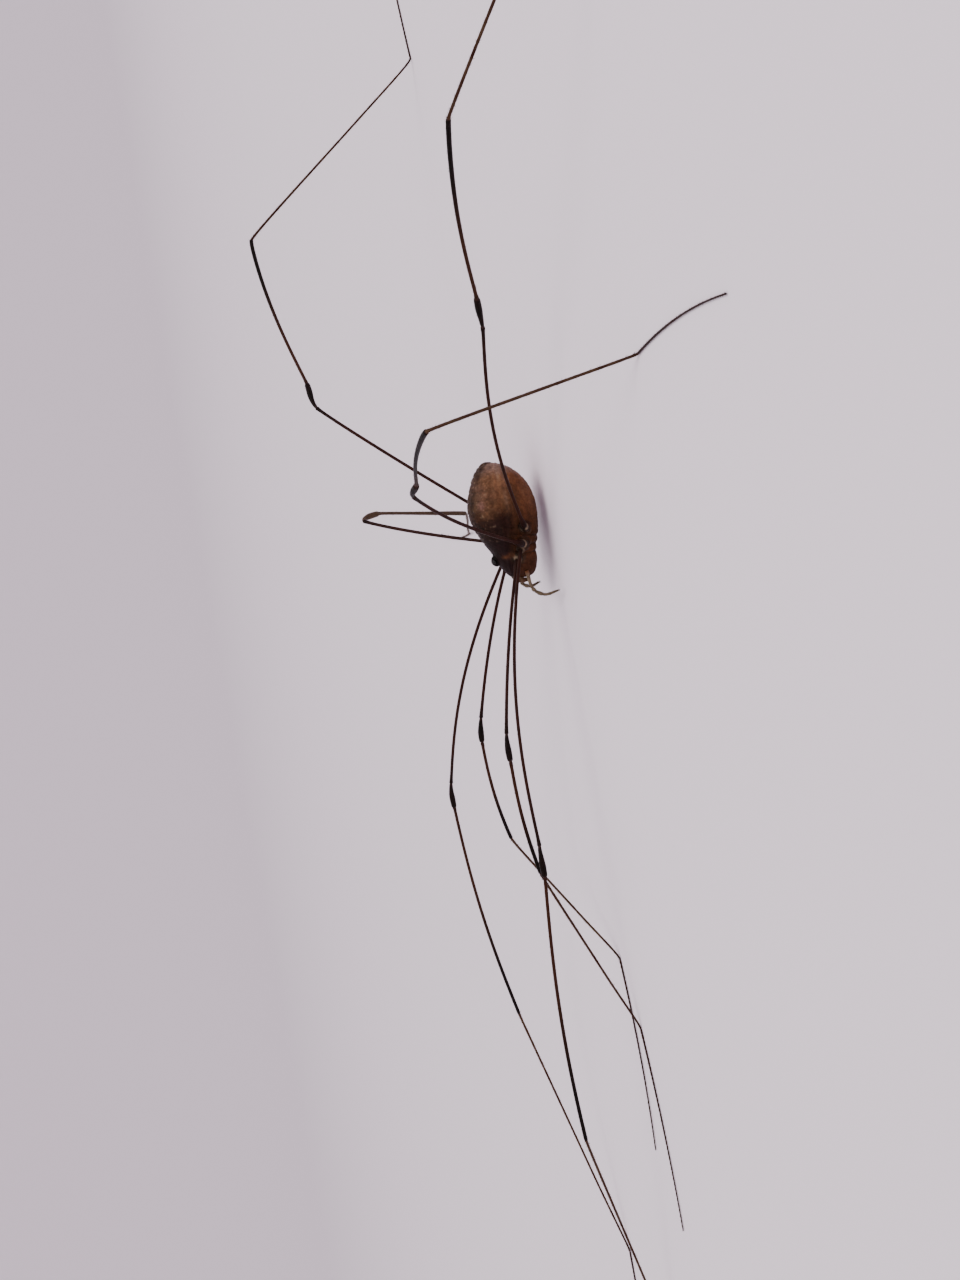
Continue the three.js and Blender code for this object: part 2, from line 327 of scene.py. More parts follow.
def united(parts, voxel):
    """One closed skin round overlapping closed meshes."""
    mesh = build_mesh("scratch", *joined(parts))
    scratch = add_object("scratch", mesh)
    modifier = scratch.modifiers.new("skin", "REMESH")
    modifier.mode = "VOXEL"
    modifier.voxel_size = voxel
    result = scratch.evaluated_get(bpy.context.evaluated_depsgraph_get()).to_mesh()
    arrays = mesh_arrays(result)
    bpy.data.objects.remove(scratch)
    bpy.data.meshes.remove(mesh)
    return arrays


def edges_of(*kinds):
    pairs = [np.stack([faces, np.roll(faces, -1, axis=1)], -1).reshape(-1, 2) for faces in kinds]
    return np.unique(np.sort(np.vstack(pairs), axis=1), axis=0)


def relaxed(points, quads, triangles, rounds, strength=0.5):
    """Each point moved towards the middle of its neighbours, a number of times."""
    a, b = edges_of(quads, triangles).T
    count = np.bincount(np.concatenate([a, b]), minlength=len(points))[:, None]
    for _ in range(rounds):
        total = np.stack([
            np.bincount(a, points[b, k], len(points)) + np.bincount(b, points[a, k], len(points))
            for k in range(3)
        ], -1)
        points = points + (total / count - points) * strength
    return points


def normals_of(points, quads, triangles):
    """The way out at each point, from the faces round it."""
    normal = np.zeros_like(points)
    for faces, corners in ((quads, (0, 2, 1, 3)), (triangles, (0, 1, 0, 2))):
        a, b, c, d = (points[faces[:, corner]] for corner in corners)
        each = np.cross(b - a, d - c)
        for corner, k in itertools.product(range(faces.shape[1]), range(3)):
            normal[:, k] += np.bincount(faces[:, corner], each[:, k], len(points))
    return unit(normal)


# Colours, as the light leaves the cuticle


def linear(red, green, blue):
    """A colour as a screen shows it, from 0 to 255, made into light."""
    c = np.array([red, green, blue]) / 255
    return np.where(c <= 0.04045, c / 12.92, ((c + 0.055) / 1.055) ** 2.4)


TAN = linear(102, 70, 48)
GREY_TAN = linear(108, 85, 75)
OLIVE = linear(60, 45, 32)
ORANGE_BROWN = linear(96, 58, 35)
RED_BROWN = linear(56, 31, 16)
FLANK_BROWN = linear(64, 39, 22)
DARK_BROWN = linear(32, 15, 10)
PLUM = linear(24, 12, 13)
NEAR_BLACK = linear(10, 6, 5)
CREAM = linear(172, 150, 124)
PINK = linear(104, 72, 66)
LEG_BROWN = linear(46, 20, 12)
LEG_OLIVE = linear(78, 60, 43)
PALP_OLIVE = linear(98, 84, 66)


def mix(first, second, amount):
    amount = np.asarray(amount)[..., None]
    return first * (1 - amount) + second * amount


def coats(colour, *layers):
    """A colour with paints laid over it in turn, each with its cover."""
    for paint, cover in layers:
        colour = mix(colour, paint, cover)
    return colour


# Legs: joints and lines


def leg_joints(name):
    """The coxa's root and way, the joints from hip to heel, the ways through them, and bend and toe."""
    pair, side, femur, patella, tibia, metatarsus, tarsus = LEGS[name]
    lengths = PAIR_LENGTHS[pair]
    hip, root = (mirrored(point, side) for point in HIPS[pair])
    joints, ways = [hip], []
    for (heading, rise), length in zip((femur[:2], patella, tibia), lengths):
        ways.append(direction(heading, rise, side))
        joints.append(joints[-1] + ways[-1] * length)
    fall = math.degrees(math.asin((SOLID_RADIUS - joints[-1][2]) / lengths[METATARSUS]))
    ways.append(direction(metatarsus, fall, side))
    joints.append(joints[-1] + ways[-1] * lengths[METATARSUS])
    heel_way, toe_way = (direction(heading, 0, side) for heading in tarsus)
    bend = joints[-1] + heel_way * lengths[TARSUS] / 2
    toe = bend + toe_way * lengths[TARSUS] / 2
    coxa_way = unit(hip - root)
    joint_ways = [unit(a + b) for a, b in zip([coxa_way, *ways], ways)] + [heel_way]
    return root, coxa_way, joints, joint_ways, bend, toe


def piece_line(name, piece, t):
    """The middle line of a leg piece, with the foot lowered until the thin tarsus lies on the floor."""
    pair = LEGS[name][0]
    _, _, joints, joint_ways, bend, toe = leg_joints(name)
    drop = SOLID_RADIUS - TARSUS_RADIUS
    length = PAIR_LENGTHS[pair][piece]
    if piece == TARSUS:
        start = joints[TARSUS] + joint_ways[TARSUS] * JOINT_GAP / 2
        w = t[:, None] * (1 - CLAW_ROOM / length)
        line = start * (1 - w) ** 2 + 2 * bend * w * (1 - w) + toe * w**2
        line[:, 2] -= drop
        return line
    bow = length * (LEGS[name][2][2], 0, TIBIA_BOW, 0)[piece]
    line = limb_line(joints[piece], joints[piece + 1], joint_ways[piece], joint_ways[piece + 1], bow, t)
    if piece == METATARSUS:
        line[:, 2] -= drop * ramp(0.6, 1, t)
    return line


# How much thicker each pair's femur is at its base and its tibia at its end, and where the tibia darkens
FEMUR_BASE = {1: 0.08, 2: 0.02, 3: 0.14, 4: 0.09}
TIBIA_DARK_FROM = {1: 0.35, 2: 0.35, 3: 0.0, 4: 0.3}
TIBIA_END = {1: 0.02, 2: 0.015, 3: 0.05, 4: 0.035}


def piece_radius(pair, piece, s, length):
    """Half thickness at s millimetres along a leg piece of that length."""
    t = s / length
    base, swell = (
        (0.115 + FEMUR_BASE[pair] * ramp(2.0, 0.9, s), 0.035 * hump(length, 1.1, s)),
        (0.13 + 0.075 * ramp(0, 0.6, t), 0.015 * hump(0.65, 0.2, t)),
        (0.118 + TIBIA_END[pair] * ramp(0.3, 0.9, t), 0.02 * hump(0.35, 0.3, s)),
        (0.098 - 0.022 * t, 0.02 * hump(0.2, 0.25, s)),
        (0.072 - 0.024 * t, 0.006 * hump(0.1, 0.3, s)),
    )[piece]
    neck = 0.18 * hump(0, 0.09, s) + 0.2 * hump(length, 0.08, s) * (piece != TARSUS)
    return (base + swell) * (1 - neck)


# Spacing of the rings of each piece, and the spacing, width and depth of the grooves of false joints
RING_STEP = (0.16, 0.1, 0.14, 0.11, 0.075)
FALSE_JOINTS = {METATARSUS: (1.15, 0.07, 0.1), TARSUS: (0.34, 0.06, 0.17)}
# Sides of a leg's tube, and its height for its width
LEG_SIDES, LEG_FLATNESS = 12, 0.94
# How far a leg that the photograph shows pale goes towards olive
FADED = {"right_3": 0.7}
# The two colours mottled on each leg piece, the share of the second and how far it varies
LEG_PAINT = (
    (LEG_BROWN, DARK_BROWN, 0.35, 0.5),
    (DARK_BROWN, NEAR_BLACK, 0.75, 0.4),
    (LEG_BROWN, RED_BROWN, 0.5, 0.5),
    (LEG_OLIVE, LEG_BROWN, 0.65, 0.5),
    (LEG_BROWN, DARK_BROWN, 0.45, 0.5),
)


def leg_colour(name, piece, s, length, points):
    """Colour along a leg piece: red-brown shafts, black knees and far ends, paler metatarsi."""
    t = s / length
    first, second, portion, change = LEG_PAINT[piece]
    colour = mix(first, second, share(portion + change * clouds(points, 0.5, 5)))
    if piece == FEMUR:
        colour = mix(colour, NEAR_BLACK, share(0.75 * ramp(0.72, 0.98, t) + 0.5 * ramp(2.6, 0.6, s)))
    elif piece == TIBIA:
        start = TIBIA_DARK_FROM[LEGS[name][0]]
        ends = 0.95 * ramp(start, start + 0.4, t) + 0.4 * ramp(0.12, 0, t)
        colour = mix(colour, NEAR_BLACK, share(ends))
    elif piece == METATARSUS:
        colour = mix(colour, DARK_BROWN, 0.6 * ramp(0.75, 1, t))
    colour = mix(colour, LEG_OLIVE, np.full(len(s), FADED.get(name, 0.0) * (piece != FEMUR)))
    soft = hump(0, 0.1, s) + hump(length, 0.06, s) * (piece < METATARSUS)
    return mix(colour, PINK, 0.15 * share(soft))


def leg_course(name):
    """The whole leg from femur to toe: line, radius, and for each ring its piece and place along it."""
    parts = []
    pair = LEGS[name][0]
    for piece, step in enumerate(RING_STEP):
        length = PAIR_LENGTHS[pair][piece]
        t = np.linspace(0, 1, int(length / step) + 1)
        s = t * length
        radius = piece_radius(pair, piece, s, length)
        if piece in FALSE_JOINTS:
            pitch, width, depth = FALSE_JOINTS[piece]
            away = np.abs((s + pitch / 2) % pitch - pitch / 2)
            radius = radius * (1 - depth * hump(0, width, away) * (s > pitch / 2))
        parts.append((piece_line(name, piece, t), radius, np.full(len(t), piece), s))
    return tuple(np.concatenate(values) for values in zip(*parts))


def add_leg(name, material):
    line, radius, pieces, places = leg_course(name)
    pair = LEGS[name][0]
    parts = sweep(line, radius, radius * LEG_FLATNESS, LEG_SIDES)
    points = parts[0]
    ring_piece, ring_place = for_points(pieces, LEG_SIDES), for_points(places, LEG_SIDES)
    colour = np.empty((len(points), 3))
    for piece in range(len(LEG_PIECES)):
        here = ring_piece == piece
        colour[here] = leg_colour(name, piece, ring_place[here], PAIR_LENGTHS[pair][piece], points[here])
    nodes = [f"leg_{name}_{piece}" for piece in LEG_PIECES]
    return add_piece(f"leg_{name}", parts, colour, material, nodes)


# Body skin


# Radius of a coxa at its root and its hip, and the narrow neck before the trochanter
COXA_RADIUS, HIP_RADIUS = 0.38, 0.285
NECK_PLACE, NECK_WIDTH, NECK_DEPTH = 0.72, 0.07, 0.075


def coxa_radius(t):
    stout = COXA_RADIUS + (HIP_RADIUS - COXA_RADIUS) * t
    return stout - NECK_DEPTH * hump(NECK_PLACE, NECK_WIDTH, t)


def coxa_line(name, t):
    root, coxa_way, joints, joint_ways, _, _ = leg_joints(name)
    return limb_line(root, joints[0], coxa_way, joint_ways[0], 0, t)


def body_loft(rings=90, sides=96):
    """The body's smooth shape, from its outline."""
    along = np.linspace(0, 1, rings)
    side = catmull_rom(BODY_OUTLINE[:, :3], along)
    top = catmull_rom(BODY_OUTLINE[:, [0, 3, 4]], along)
    angle = 2 * math.pi * np.arange(sides) / sides
    circle = (np.cos(angle), np.sin(angle))
    across, rise = (np.sign(c) * np.abs(c) ** (2 / BODY_SQUARENESS) for c in circle)
    sizes = (top[:, 1], side[:, 2] - top[:, 2], top[:, 2] - side[:, 1])
    half, above, below = (np.maximum(size - SKIN_INSET, THINNEST) for size in sizes)
    x = np.clip(side[:, 0], BODY_OUTLINE[0, 0] + SKIN_INSET, BODY_OUTLINE[-1, 0] - SKIN_INSET)
    height = np.where(rise > 0, rise * above[:, None], rise * below[:, None])
    points = np.stack([
        np.broadcast_to(x[:, None], height.shape), across * half[:, None], top[:, 2][:, None] + height
    ], -1).reshape(-1, 3)
    middles = points.reshape(rings, sides, 3)[[0, -1]].mean(1)
    quads, triangles = tube_faces(rings, sides)
    return np.vstack([points, middles]), quads[:, ::-1], triangles[:, ::-1]


def ellipsoid(centre, radii, sides=32, rings=20):
    t = np.linspace(0.02, 0.98, rings)
    line = np.array(centre) + np.stack([-np.cos(math.pi * t) * radii[0], 0 * t, 0 * t], -1)
    girth = np.sin(math.pi * t)
    return sweep(line, girth * radii[1], girth * radii[2], sides)


def segment_gap(points, start, end):
    """Distance to a straight line, and how far along it the nearest place is."""
    way = end - start
    t = share((points - start) @ way / (way @ way))
    return np.linalg.norm(points - start - t[:, None] * way, axis=1), t


# How pale the crescent of membrane is at each pair's hip, and the places and sizes of two pale spots
MEMBRANE = (0.4, 0.4, 1.0, 0.6)
MEMBRANE_SPOTS = (((1.98, 1.6, 2.72), 0.26), ((0.25, 2.15, 2.2), 0.13))
COXAE = [(mirrored(root, side), mirrored(hip, side)) for hip, root in HIPS.values() for side in (1, -1)]


def coxa_places(points):
    """Distances to the nearest coxa's line and to the next one's, and the place along it."""
    gaps, places = zip(*(segment_gap(points, a, b) for a, b in COXAE))
    gaps, places = np.array(gaps), np.array(places)
    order = np.argsort(gaps, axis=0)
    column = np.arange(len(points))
    return gaps[order[0], column], gaps[order[1], column], places[order[0], column]


def membranes(points):
    """Where the soft pale skin shows: a crescent under each hip and two spots on a side."""
    folded = points * np.array([1, 0, 1]) + np.abs(points) * np.array([0, 1, 0])
    total = np.zeros(len(points))
    for (hip, _), strength in zip(HIPS.values(), MEMBRANE):
        x, y, z = (folded - hip).T
        crescent = hump(0.2, 0.07, np.hypot(x, z)) * ramp(0.04, -0.1, z)
        total = np.maximum(total, strength * crescent * (np.abs(y) < 0.5))
    for spot, size in MEMBRANE_SPOTS:
        total = np.maximum(total, hump(0, size, np.linalg.norm(folded - spot, axis=1)))
    return total


def girdle_angle(points):
    """Degrees up from level at the flank: 90 on the back, -90 on the belly."""
    return np.degrees(np.arctan2(points[:, 2] - GIRDLE_HEIGHT, np.abs(points[:, 1])))


TERGITE_LINES = (-3.95, -3.6, -3.15, -2.6, -1.95, -1.25, -0.55, 0.12)
STERNITE_LINES = (-3.7, -3.2, -2.6, -1.9, -1.2, -0.5)
CARAPACE_EDGE, TAIL_START = 0.72, -3.6
# How far the cross grooves of the back and belly lie nearer the tail at the flanks
TERGITE_BEND, STERNITE_BEND = 0.14, -0.1
# Depth and width of the grooves and ridges of the skin
TERGITE_GROOVE, TERGITE_RIDGE, FLANK_GROOVE = (0.03, 0.05), (0.014, 0.08), (0.028, 0.08)
STERNITE_GROOVE, CARAPACE_GROOVE = (0.028, 0.05), (0.045, 0.055)
COXA_GROOVE, COXA_NECK, MOUND_GROOVE = (0.075, 0.085), (0.03, 0.05), (0.045, 0.06)
RIDGE_SETBACK = 0.13


def tergite_curve(points):
    """The place along the body that the cross grooves of the back follow."""
    x, y, _ = points.T
    return x + TERGITE_BEND * (y / 2) ** 2 + 0.05 * noise(points, 1.1, 3)


def between_coxae(x, z, gap):
    """Where grooves run between neighbouring coxae: under the front half of the body."""
    return ramp(-0.5, 0.1, x) * (z < 2.5) * (gap > 0.2)


def from_mound(points):
    """Distance from the middle of the eye mound, where 1 is its surface."""
    return np.linalg.norm((points - MOUND_CENTRE) / MOUND_RADII, axis=1)


def groove(size, middle, value):
    """How deep a groove of that depth and width is at a value."""
    depth, width = size
    return depth * hump(middle, width, value)


def relief(points):
    """How far the skin stands out of its smooth shape, in millimetres."""
    x, y, z = points.T
    angle = girdle_angle(points)
    wander = noise(points, 1.1, 3)
    gap, following, place = coxa_places(points)
    on_body = ramp(0.25, 0.5, gap + 0.6 * (place < 0.65))
    back = ramp(12, 34, angle) * on_body
    belly = ramp(28, 46, -angle) * on_body
    flank = hump(4, 24, angle) * (1 - ramp(0.3, 1.1, x)) * on_body
    height = np.zeros(len(points))
    curve = tergite_curve(points)
    for line in TERGITE_LINES:
        height -= groove(TERGITE_GROOVE, line, curve) * back
        height += groove(TERGITE_RIDGE, line - RIDGE_SETBACK, curve) * back
        height -= groove(FLANK_GROOVE, line, curve) * flank
    under = x + STERNITE_BEND * (y / 2) ** 2 + 0.04 * wander
    for line in STERNITE_LINES:
        height -= groove(STERNITE_GROOVE, line, under) * belly * (x < 0)
    height -= groove(CARAPACE_GROOVE, CARAPACE_EDGE, curve) * back
    folds = np.sin(np.radians(angle * 26 + 150 * noise(points * np.array([0.35, 1, 1]), 0.8, 4)))
    height += 0.028 * folds * flank
    height -= 0.04 * hump(-7 + 5 * wander, 3.2, angle) * (x < 0.2) * on_body
    height += 0.035 * hump(22, 5, angle) * ramp(0.7, 1.1, x) * (x < 2.9) * on_body
    height -= groove(COXA_GROOVE, 0, following - gap) * between_coxae(x, z, gap)
    from_tail = np.hypot(y, z - TAIL_HEIGHT)
    height += 0.07 * hump(0, 0.42, from_tail) * (x < TAIL_START)
    height -= 0.05 * hump(0.5, 0.08, from_tail) * (x < TAIL_START)
    height -= groove(MOUND_GROOVE, 0, y) * (from_mound(points) < 1.25) * ramp(3.6, 3.8, z)
    for side in (1, -1):
        from_eye = np.linalg.norm(points - mirrored(EYE_CENTRE, side), axis=1)
        height += 0.022 * hump(EYE_RADIUS + 0.03, 0.028, from_eye)
    height += 0.02 * clouds(points, 0.28, 7)
    grains = share(noise(points, 0.085, 9) - 0.25)
    height += 0.022 * grains * ramp(-20, 10, angle)
    height -= groove(COXA_NECK, NECK_PLACE, place) * (gap < 0.42)
    return height


def blotch(x, z, mid_x, mid_z, wide, high):
    return np.exp(-(((x - mid_x) / wide) ** 2) - ((z - mid_z) / high) ** 2)


def body_regions(points, broad, middle):
    """The large regions: tan flanks, a grey-olive back, dark front and carapace, red-brown belly."""
    x, y, _ = points.T
    angle = girdle_angle(points)
    middle_flank = ramp(-3.3, -1.4, x + 0.5 * broad) * ramp(40, 18, angle + 8 * middle)
    saddle = ramp(1.25, 0.85, np.abs(y) + 0.22 * middle + 0.12 * np.cos(4.4 * x))
    drift = 0.7 * broad + 0.35 * middle
    dark_front = ramp(-1.7, -0.3, x + drift) * ramp(-14, 14, angle + 10 * middle)
    return coats(
        TAN,
        (ORANGE_BROWN, ramp(-1, 26, -angle + 10 * broad)),
        (GREY_TAN, 0.8 * ramp(-3.3, -4.1, x + 0.2 * broad)),
        (OLIVE, 0.75 * ramp(38, 58, angle + 9 * broad)),
        (FLANK_BROWN, 0.8 * middle_flank * ramp(-30, -12, angle)),
        (DARK_BROWN, 0.6 * (saddle * ramp(40, 60, angle))),
        (RED_BROWN, 0.85 * ramp(-2.0, 0.1, x + drift) * ramp(20, -14, angle)),
        (DARK_BROWN, 0.94 * dark_front),
        (PLUM, 0.85 * ramp(-0.1, 1.0, x + 0.4 * drift) * ramp(0, 26, angle)),
        (ORANGE_BROWN, 0.3 * ramp(1.2, 2, x) * ramp(-2, -18, angle)),
        (DARK_BROWN, 0.5 * ramp(1.4, 3.0, x) * ramp(20, -10, angle)),
    )


# Blotches of the flank: x and z of the middle, size along and up, colour and strength
BLOTCHES = (
    (-2.8, 4.2, 0.42, 0.3, PINK, 0.35),
    (-1.72, 4.25, 0.34, 0.24, PINK, 0.7),
    (-2.3, 3.9, 0.3, 0.5, PINK, 0.2),
    (-1.05, 4.55, 0.4, 0.24, RED_BROWN, 0.7),
    (-2.87, 4.72, 0.14, 0.14, DARK_BROWN, 0.6),
    (-1.9, 4.75, 0.16, 0.12, DARK_BROWN, 0.5),
    (-3.5, 4.1, 0.12, 0.12, DARK_BROWN, 0.35),
    (-2.36, 1.5, 0.5, 0.35, OLIVE, 0.45),
    (-1.7, 1.15, 0.8, 0.45, TAN, 0.55),
    (-0.4, 3.0, 0.55, 0.42, DARK_BROWN, 0.75),
    (-0.2, 3.6, 0.5, 0.35, PLUM, 0.5),
    (-1.9, 3.55, 0.2, 0.32, OLIVE, 0.4),
    (-2.5, 3.6, 0.1, 0.3, DARK_BROWN, 0.3),
    (-3.6, 2.95, 0.32, 0.1, CREAM, 0.3),
    (-1.9, 2.72, 0.8, 0.13, CREAM, 0.12),
)
# The pale stripe under the flank's fold, partly a seam and partly a painted highlight on the fold, as
# places along the body and its heights there
SEAM_HIGHLIGHT_PLACES, SEAM_HIGHLIGHT_HEIGHTS = (-4, -2.9, -1.4, -0.2), (2.75, 2.35, 2.05, 1.8)


def body_marks(colour, points, middle, fine):
    """The regions' colour with blotches, a pale stripe under the flank's fold that is partly a seam and
    partly a painted highlight, a dark line of painted shade in the fold, and the dark edges of the tergites
    laid over it.
    """
    x, _, z = points.T
    curve, on_back = tergite_curve(points), ramp(15, 40, girdle_angle(points))
    for *spot, paint, strength in BLOTCHES:
        cover = strength * blotch(x, z, *spot)
        colour = mix(colour, paint, cover * share(0.8 + 0.6 * middle))
    seam_highlight = np.interp(x, SEAM_HIGHLIGHT_PLACES, SEAM_HIGHLIGHT_HEIGHTS)
    # Pale stripe under the flank's fold: partly a seam, partly a painted highlight.
    colour = mix(colour, GREY_TAN, 0.4 * hump(seam_highlight + 0.12, 0.07, z + 0.03 * fine) * (x < -0.4))
    # Dark line in the flank's fold: painted shade.
    colour = mix(colour, DARK_BROWN, 0.55 * hump(2.48 + 0.1 * middle, 0.035, z) * hump(-1.1, 0.5, x))
    for line in TERGITE_LINES:
        colour = mix(colour, DARK_BROWN, 0.22 * (hump(line, 0.06, curve) * on_back))
    return colour


def coxa_marks(colour, points, middle):
    """Dark grooves, olive-brown coxae with black ends, and pale soft skin at the hips."""
    x, _, z = points.T
    gap, following, place = coxa_places(points)
    out = (gap < 0.44) * ramp(0.45, 0.6, place)
    return coats(
        colour,
        (NEAR_BLACK, 0.5 * hump(0, 0.06, following - gap) * between_coxae(x, z, gap)),
        (mix(OLIVE, DARK_BROWN, share(0.45 + middle)), 0.8 * out),
        (NEAR_BLACK, 0.7 * out * ramp(0.78, 0.85, place)),
        (mix(CREAM, PINK, 0.25), membranes(points) * share(0.72 + 0.3 * middle)),
    )


def body_colour(points):
    """The body's regions, marks and coxae, its black eye mound and a fine speckle."""
    x, _, z = points.T
    broad, middle = clouds(points, 1.3, 21), clouds(points, 0.45, 22)
    fine = noise(points, 0.14, 23)
    colour = body_marks(body_regions(points, broad, middle), points, middle, fine)
    streak = hump(1.72 + 0.12 * middle, 0.12, x) * ramp(2.5, 2.7, z) * ramp(3.5, 3.2, z)
    speckle = share(fine * 1.6 - 0.55) * ramp(10, 40, girdle_angle(points))
    colour = coats(
        coxa_marks(colour, points, middle),
        (ORANGE_BROWN, 0.5 * streak),
        (NEAR_BLACK, 0.85 * ramp(1.3, 1.05, from_mound(points))),
        (CREAM, 0.12 * speckle * (x < 0.8)),
    )
    streaks = clouds(points * np.array([0.3, 1, 1]), 0.33, 25)
    return colour * np.clip(1 + 0.3 * middle + 0.3 * streaks + 0.2 * fine, 0.35, 1.7)[:, None]


COXA_RINGS, COXA_SIDES, SKIN_ROUNDS = 28, 24, 6


def body_skin():
    """One skin round body, eye mound and coxae, smoothed and then given its relief."""
    t = np.linspace(0, 1, COXA_RINGS)
    parts = [body_loft(), ellipsoid(MOUND_CENTRE, MOUND_RADII)]
    for name in LEGS:
        radius = coxa_radius(t)
        parts.append(sweep(coxa_line(name, t), radius, radius, COXA_SIDES))
    points, quads, triangles = united(parts, VOXEL)
    points = relaxed(points, quads, triangles, SKIN_ROUNDS)
    height = relief(points)
    points = points + normals_of(points, quads, triangles) * height[:, None]
    points = relaxed(points, quads, triangles, 1, 0.3)
    return points, quads, triangles


# Hairs: fine, curved and three-sided, each with a small patch of its own on the skin's unwrap

UNWRAP_PATCH = 0.0015
HAIR_SINK = 0.012
HAIR_POINTS = 7


def hairs(roots, ways, outs, lengths, widths, places):
    """Hairs that leave the skin and bend to lie along ways; places are their spots on the unwrap."""
    count = len(roots)
    leave = unit(outs * 0.75 + ways * 0.65)
    lie = unit(outs * 0.28 + ways)
    base = roots - outs * HAIR_SINK
    middle = base + leave * (lengths * 0.5)[:, None]
    tip = middle + lie * (lengths * 0.55)[:, None]
    first = unit(np.cross(leave, outs + 0.01))
    second = np.cross(leave, first)
    points, spread = [], []
    for centre, girth, patch in ((base, 1, 1), (middle, 0.62, 0.5)):
        for k in range(3):
            turn = 2 * math.pi * k / 3
            ring = first * math.cos(turn) + second * math.sin(turn)
            points.append(centre + ring * (widths * girth)[:, None])
            spread.append(np.array([math.cos(turn), math.sin(turn)]) * UNWRAP_PATCH * patch)
    points.append(tip)
    spread.append(np.zeros(2))
    points = np.stack(points, 1).reshape(-1, 3)
    unwrap = (places[:, None] + np.array(spread)[None]).reshape(-1, 2)
    start = HAIR_POINTS * np.arange(count)[:, None]
    quads = np.vstack([start + np.array([k, (k + 1) % 3, 3 + (k + 1) % 3, 3 + k]) for k in range(3)])
    triangles = [start + np.array([3 + k, 3 + (k + 1) % 3, 6]) for k in range(3)]
    triangles = np.vstack(triangles + [start + [0, 2, 1]])
    return points, quads, triangles, unwrap


def add_coat(name, batches, material):
    parts, maps, colours = [], [], []
    for colour, *batch in batches:
        *part, unwrap = hairs(*batch)
        parts.append(part)
        maps.append(unwrap)
        colours.append(np.repeat(colour, HAIR_POINTS, axis=0))
    piece = add_piece(name, joined(parts), np.vstack(colours), material)
    corners = values_of(piece.data.loops, "vertex_index")
    layer = piece.data.uv_layers.new(name="OFBake")
    layer.data.foreach_set("uv", np.vstack(maps)[corners].ravel())
    return piece


# Hairs for each millimetre of each leg piece and their lengths, and the height kept clear of the floor
HAIRS_PER_MM = (5, 14, 12, 18, 24)
HAIR_LENGTH = (0.1, 0.12, 0.13, 0.17, 0.11)
HAIR_WIDTH, BODY_HAIR_WIDTH, MOUTH_HAIR_WIDTH = 0.0075, 0.006, 0.0065
HAIR_CLEARANCE = 0.02
BODY_HAIRS, PALP_HAIRS, CHELICERA_HAIRS = 2600, 420, 60
# How much of a tube's radius lies under a hair's root
ROOT_DEPTH = 0.96
# The tail's place and the body's length on its unwrap, and the unwrap's bands for the mouth parts
UNWRAP_TAIL, UNWRAP_LENGTH, UNWRAP_BANDS = 4.4, 8, 8


def tube_roots(line, radius, ring, angle):
    """For spots on a tube: the ways along and out of it, and a root just inside its skin."""
    way, across, up = carried_frame(line)
    out = across[ring] * np.cos(angle)[:, None] + up[ring] * np.sin(angle)[:, None]
    return way[ring], out, line[ring] + out * radius[ring][:, None] * ROOT_DEPTH


def leg_hairs(name, index, random):
    """The hairs of one leg, thicker towards the foot; none reach down to the floor."""
    line, radius, pieces, _ = leg_course(name)
    chosen = []
    for piece, density in enumerate(HAIRS_PER_MM):
        rings = np.flatnonzero(pieces == piece)[1:-1]
        chosen.append(random.choice(rings, int(density * PAIR_LENGTHS[LEGS[name][0]][piece])))
    ring = np.concatenate(chosen)
    angle = random.uniform(0, 2 * math.pi, len(ring))
    way, out, root = tube_roots(line, radius, ring, angle)
    length = np.array(HAIR_LENGTH)[pieces[ring]] * random.uniform(0.7, 1.25, len(ring))
    keep = root[:, 2] + length * (0.55 * out[:, 2] + 0.9 * way[:, 2]) > HAIR_CLEARANCE
    ring, angle, way, out, root, length = (a[keep] for a in (ring, angle, way, out, root, length))
    around = 0.03 + 0.94 * angle / (2 * math.pi)
    unwrap = np.stack([0.01 + 0.98 * ring / len(line), (index + around) / len(LEGS)], -1)
    width = HAIR_WIDTH * random.uniform(0.8, 1.2, len(ring))
    colour = LEG_OLIVE * np.where(pieces[ring] < METATARSUS, 0.25, 0.6)[:, None]
    return colour, root, way, out, length, width, unwrap


def body_hairs(points, normals, random):
    chosen = random.choice(len(points), BODY_HAIRS, replace=False)
    root, out = points[chosen], normals[chosen]
    backwards = np.array([-1.0, 0, -0.15])
    way = unit(backwards - out * (out @ backwards)[:, None])
    length = random.uniform(0.05, 0.1, BODY_HAIRS) * np.where(root[:, 0] > 1.5, 0.7, 1)
    angle = np.arctan2(root[:, 2] - GIRDLE_HEIGHT, root[:, 1]) / (2 * math.pi) + 0.5
    along = (root[:, 0] + UNWRAP_TAIL) / UNWRAP_LENGTH
    unwrap = np.stack([0.05 + 0.9 * along, 0.02 + 0.96 * angle], -1)
    return body_colour(root) * 0.8, root, way, out, length, np.full(BODY_HAIRS, BODY_HAIR_WIDTH), unwrap


def tube_hairs(line, radius, colour, random, count, length, band):
    ring = random.integers(2, len(line) - 2, count)
    angle = random.uniform(0, 2 * math.pi, count)
    way, out, root = tube_roots(line, radius, ring, angle)
    lengths = length * random.uniform(0.7, 1.3, count)
    around = (band + 0.05 + 0.9 * angle / (2 * math.pi)) / UNWRAP_BANDS
    unwrap = np.stack([0.02 + 0.96 * ring / len(line), around], -1)
    colours, widths = np.broadcast_to(colour, root.shape), np.full(count, MOUTH_HAIR_WIDTH)
    return colours, root, way, out, lengths, widths, unwrap


# Mouth parts, eyes and claws

PALP_JOINTS = (0.08, 0.31, 0.42, 0.63)
PALP_SIDES = 20


